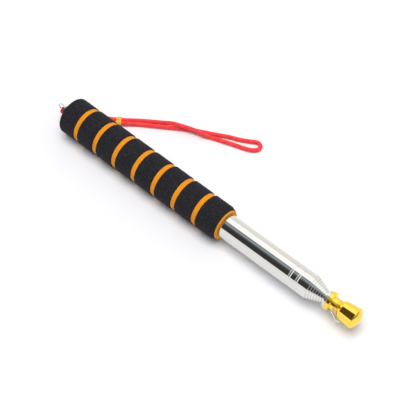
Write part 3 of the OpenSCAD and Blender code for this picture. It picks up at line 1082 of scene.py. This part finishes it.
# A flared surface mirrors the studio further back, with one dark card in it
CARD = (0.068, 0.05, 0.055)
CARD_MIRROR = [
    (-30, even(0.85)), (19, even(0.85)), (20.5, CARD), (93, CARD),
    (96, even(1.0)), (141, even(1.0)), (146, even(0.72)), (190, even(0.72))]
CARD_EDGES = (-0.365, -0.385, -0.52, -0.6)
# The tip mirrors a narrow stretch of the studio, where the dark side is lower and warmer
TIP_DARK = (0.11, 0.06, 0.055)
TIP_LINE = (0.62, 0.53, 0.5)
TIP_EDGE = (0.38, 0.28, 0.26)
TIP_MIRROR = [
    (-30, even(0.82)), (8, even(0.82)), (11, TIP_DARK), (49, TIP_DARK), (60, TIP_LINE), (65, TIP_LINE),
    (71, TIP_EDGE), (77, TIP_EDGE), (86, even(0.9)), (96, even(1.0)), (141, even(1.0)),
    (146, even(0.72)), (190, even(0.72))]
TIP_EDGES = (-0.2365, -0.2345, -0.215, -0.205)
# A bead or a rim turns the mirror further still, towards a pale wall behind or ahead
REAR_MIRROR = [
    (-30, even(0.4)), (4, even(0.5)), (16, even(0.95)), (141, even(0.95)), (152, even(0.5)),
    (190, even(0.35))]
REAR_EDGES = (-0.52, -0.6, -0.77, -0.83)
FRONT_WALL = (0.9, 0.9, 0.9, 1)
FRONT_WALL_SHARE = 0.55
FRONT_WALL_EDGES = (0.0, 0.2, 0.5, 0.6)
# A dark skirting runs along the foot of the studio far ahead
SKIRTING = (0.3, 0.3, 0.3, 1)
SKIRTING_FROM = 0.45
SKIRTING_TO = 0.6
SKIRTING_TOP = 0.2
SKIRTING_FADE = 0.03


def floor_material():
    """A pale floor that keeps the shadows near the pole and fades to white further away."""
    material, tree, shader = new_material("floor", Roughness=0.9, Specular_IOR_Level=0.1)
    shader.inputs["Base Color"].default_value = FLOOR_COLOUR
    rays = add_node(tree, "ShaderNodeLightPath").outputs
    seen = math_of(tree, "MAXIMUM", rays["Is Camera Ray"], rays["Is Glossy Ray"])
    seen = math_of(tree, "MAXIMUM", seen, rays["Is Transmission Ray"])
    place = own_place(tree)
    away = add_node(tree, "ShaderNodeVectorMath", {0: place}, operation="LENGTH").outputs["Value"]
    far = math_of(tree, "MULTIPLY", spread(tree, away, FLOOR_FADE_FROM, FLOOR_FADE_TO), seen)
    white = add_node(tree, "ShaderNodeEmission").outputs[0]
    mixed = add_node(tree, "ShaderNodeMixShader", {0: far, 1: shader.outputs[0], 2: white})
    tree.links.new(mixed.outputs[0], tree.nodes["Material Output"].inputs["Surface"])
    return material


def make_floor():
    """The surface that the pole and the strap lie on."""
    half = FLOOR_SIZE / 2
    points = [(-half, -half, 0), (half, -half, 0), (half, half, 0), (-half, half, 0)]
    mesh = bpy.data.meshes.new("floor")
    mesh.from_pydata(points, [], [(0, 1, 2, 3)])
    floor = bpy.data.objects.new("floor", mesh)
    bpy.context.scene.collection.objects.link(floor)
    mesh.materials.append(floor_material())


def make_lamp():
    """A round soft lamp overhead, which metal doesn't mirror."""
    data = bpy.data.lights.new("lamp", "AREA")
    data.shape = "DISK"
    data.size = LAMP_SIZE
    data.energy = LAMP_POWER
    lamp = bpy.data.objects.new("lamp", data)
    lamp.location = LAMP_AT
    lamp.rotation_euler = (AXIS - LAMP_AT).to_track_quat("-Z", "Y").to_euler()
    lamp.visible_glossy = False
    bpy.context.scene.collection.objects.link(lamp)


def mix_of(tree, factor, a, b):
    """The colour a where the factor is 0, and b where it is 1."""
    inputs = {"Factor": factor, "A": a, "B": b}
    return add_node(tree, "ShaderNodeMix", inputs, data_type="RGBA").outputs["Result"]


def round_about(tree, parts, stops):
    """Colours over the angle about the pole."""
    backward = math_of(tree, "MULTIPLY", parts["Y"], -1.0)
    angle = math_of(tree, "ARCTAN2", parts["Z"], backward)
    place = spread(tree, angle, math.radians(MIRROR_FROM), math.radians(MIRROR_TO))
    width = MIRROR_TO - MIRROR_FROM
    shares = [((degrees - MIRROR_FROM) / width, colour) for degrees, colour in stops]
    return colours(tree, place, *shares)


def zone(tree, value, edges):
    """A factor that is 0 outside four edges and 1 between the middle two."""
    start, full, end, gone = edges
    rise = spread(tree, value, start, full)
    fall = spread(tree, value, end, gone, to_low=1.0, to_high=0.0)
    return math_of(tree, "MULTIPLY", rise, fall)


def mirror_of(tree, parts):
    """The studio that metal mirrors: soft box overhead, dark camera side, pale table and far wall."""
    along = parts["X"]
    seen = round_about(tree, parts, MIRROR)
    for edges, stops in ((CARD_EDGES, CARD_MIRROR), (TIP_EDGES, TIP_MIRROR), (REAR_EDGES, REAR_MIRROR)):
        seen = mix_of(tree, zone(tree, along, edges), seen, round_about(tree, parts, stops))
    ahead = math_of(tree, "MULTIPLY", zone(tree, along, FRONT_WALL_EDGES), FRONT_WALL_SHARE)
    seen = mix_of(tree, ahead, seen, FRONT_WALL)
    foot = spread(tree, parts["Z"], SKIRTING_TOP, SKIRTING_TOP + SKIRTING_FADE, to_low=1.0, to_high=0.0)
    skirting = math_of(tree, "MULTIPLY", foot, spread(tree, along, SKIRTING_FROM, SKIRTING_TO))
    return mix_of(tree, skirting, seen, SKIRTING)


def make_world():
    """White for the camera, an even soft light on everything, and the mirrored studio for metal."""
    world = bpy.data.worlds.new("studio")
    bpy.context.scene.world = world
    world.use_nodes = True
    tree = world.node_tree
    tree.nodes.clear()
    rays = add_node(tree, "ShaderNodeLightPath").outputs
    shown = math_of(tree, "MAXIMUM", rays["Is Camera Ray"], rays["Is Transmission Ray"])
    way = add_node(tree, "ShaderNodeTexCoord").outputs["Generated"]
    parts = add_node(tree, "ShaderNodeSeparateXYZ", {0: way}).outputs
    sky = mix_of(tree, spread(tree, parts["Y"], low=-1.0), SKY_NEAR, SKY_FAR)
    colour = mix_of(tree, rays["Is Glossy Ray"], sky, mirror_of(tree, parts))
    colour = mix_of(tree, shown, colour, WHITE)
    strength = spread(tree, rays["Is Glossy Ray"], to_low=1.0, to_high=MIRROR_GAIN)
    background = add_node(tree, "ShaderNodeBackground", {"Color": colour, "Strength": strength})
    output = add_node(tree, "ShaderNodeOutputWorld")
    tree.links.new(background.outputs[0], output.inputs["Surface"])


make_floor()
make_lamp()
make_world()
bpy.context.scene.view_settings.view_transform = "Standard"
